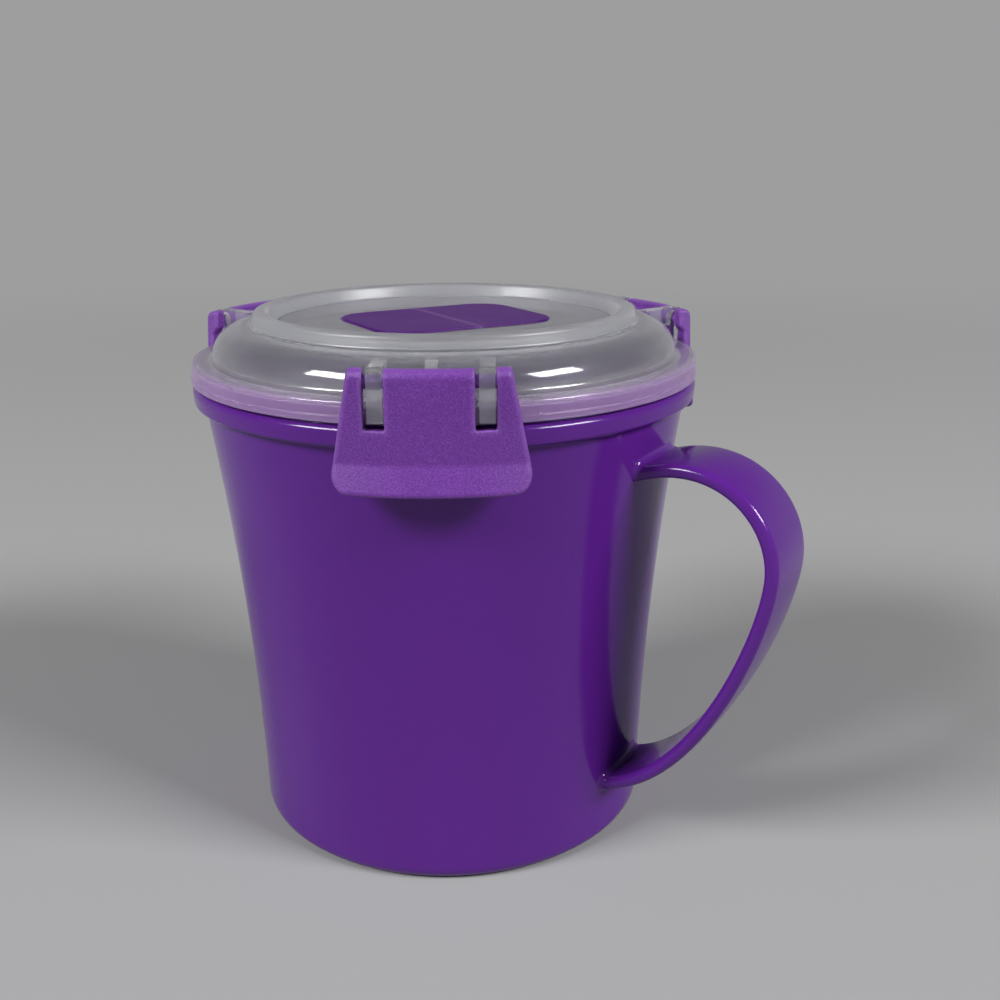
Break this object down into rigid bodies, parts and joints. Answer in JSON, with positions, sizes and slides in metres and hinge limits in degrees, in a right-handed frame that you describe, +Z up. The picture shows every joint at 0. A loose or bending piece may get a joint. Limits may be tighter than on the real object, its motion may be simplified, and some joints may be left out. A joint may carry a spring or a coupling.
{
  "type": "microwave mug",
  "caption": "Moulded microwave soup mug with a strap handle, a translucent domed lid held by hinged locking clips, and a lifting steam vent flap.",
  "frame": {"origin": "centre of the mug's flat underside", "axes": "+Z up along the mug's axis, +X from the axis towards the handle"},
  "size_m": [0.1531, 0.1264, 0.126],
  "materials": {
    "mug_plastic": "smooth satin-gloss moulded polypropylene",
    "lid_plastic": "hazy translucent polypropylene",
    "seal_rubber": "soft pale silicone",
    "vent_plastic": "satin moulded plastic",
    "clip_plastic": "fine spark-eroded grain"
  },
  "bodies": {
    "mug": {"mug_body": "mug_plastic"},
    "lid": {"lid_shell": "lid_plastic", "lid_seal": "seal_rubber", "vent_plate": "vent_plastic"},
    "vent_flap": {"vent_flap": "vent_plastic"},
    "clip_front": {"clip_front": "clip_plastic"},
    "clip_back_right": {"clip_back_right": "clip_plastic"},
    "clip_back_left": {"clip_back_left": "clip_plastic"}
  },
  "joints": [
    {"name": "lid_lift", "type": "slide", "parent": "mug", "child": "lid", "axis": [0, 0, 1], "range_m": [0, 0.04]},
    {"name": "vent_flap_hinge", "type": "hinge", "parent": "lid", "child": "vent_flap", "pos_m": [0, 0, 0.12325], "axis": [-0.866, 0.5, 0], "range_deg": [0, 105]},
    {"name": "clip_front_hinge", "type": "hinge", "parent": "lid", "child": "clip_front", "pos_m": [0.03015, -0.05222, 0.11975], "axis": [-0.866, -0.5, 0], "range_deg": [0, 120]},
    {"name": "clip_back_right_hinge", "type": "hinge", "parent": "lid", "child": "clip_back_right", "pos_m": [0.03015, 0.05222, 0.11975], "axis": [0.866, -0.5, 0], "range_deg": [0, 120]},
    {"name": "clip_back_left_hinge", "type": "hinge", "parent": "lid", "child": "clip_back_left", "pos_m": [-0.0603, 0, 0.11975], "axis": [0, 1, 0], "range_deg": [0, 120]}
  ]
}
